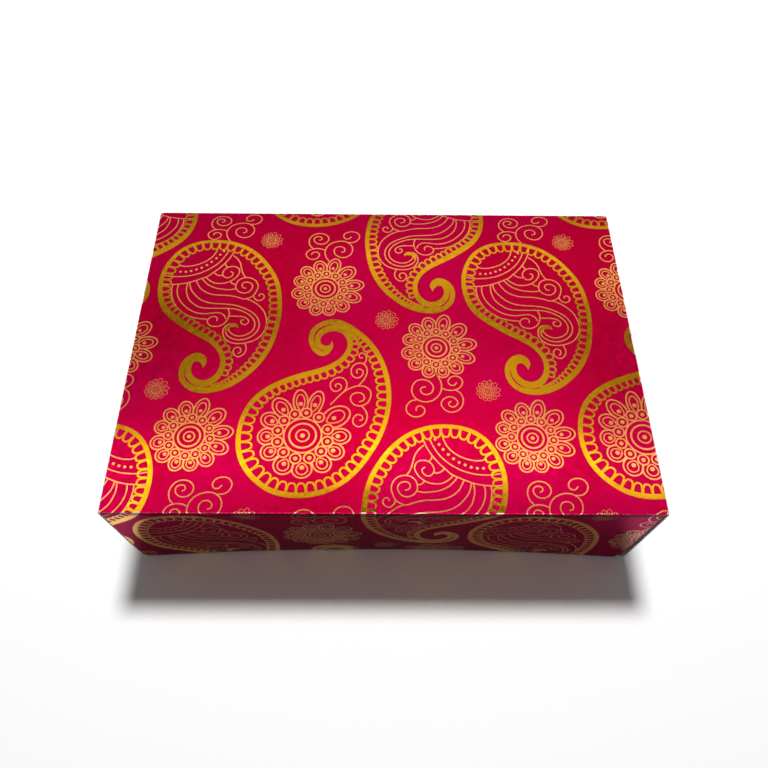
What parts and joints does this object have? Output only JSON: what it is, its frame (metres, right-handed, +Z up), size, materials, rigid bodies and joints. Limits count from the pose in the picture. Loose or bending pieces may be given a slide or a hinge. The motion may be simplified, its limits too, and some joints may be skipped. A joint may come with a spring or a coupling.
{
  "type": "sweet box",
  "caption": "Shallow rectangular folding-carton box for sweets, with a base tray and a full-depth lift-off lid, each with rolled double-wall ends.",
  "frame": {"origin": "middle of the base's underside, on the surface that the box stands on", "axes": "+X to the right along the long side, the front faces -Y, +Z up through the lid"},
  "size_m": [0.2314, 0.162, 0.062],
  "materials": {
    "printed_board": "satin crimson to magenta print outside, plain grey back inside, raw grey-white edges",
    "gold_foil": "thin hot-stamped gold foil"
  },
  "bodies": {
    "base": {"base_back_left_flap": "printed_board", "base_back_right_flap": "printed_board", "base_back_wall": "printed_board", "base_bottom": "printed_board", "base_front_left_flap": "printed_board", "base_front_right_flap": "printed_board", "base_front_wall": "printed_board", "base_left_end": "printed_board", "base_left_hem": "printed_board", "base_left_lining": "printed_board", "base_right_end": "printed_board", "base_right_hem": "printed_board", "base_right_lining": "printed_board"},
    "lid": {"lid_back_left_flap": "printed_board", "lid_back_right_flap": "printed_board", "lid_back_wall": "printed_board", "lid_front_left_flap": "printed_board", "lid_front_right_flap": "printed_board", "lid_front_wall": "printed_board", "lid_left_end": "printed_board", "lid_left_hem": "printed_board", "lid_left_lining": "printed_board", "lid_right_end": "printed_board", "lid_right_hem": "printed_board", "lid_right_lining": "printed_board", "lid_top": "printed_board"}
  },
  "joints": [
    {"name": "lid_lift", "type": "slide", "parent": "base", "child": "lid", "axis": [0, 0, 1], "range_m": [0, 0.09]}
  ]
}
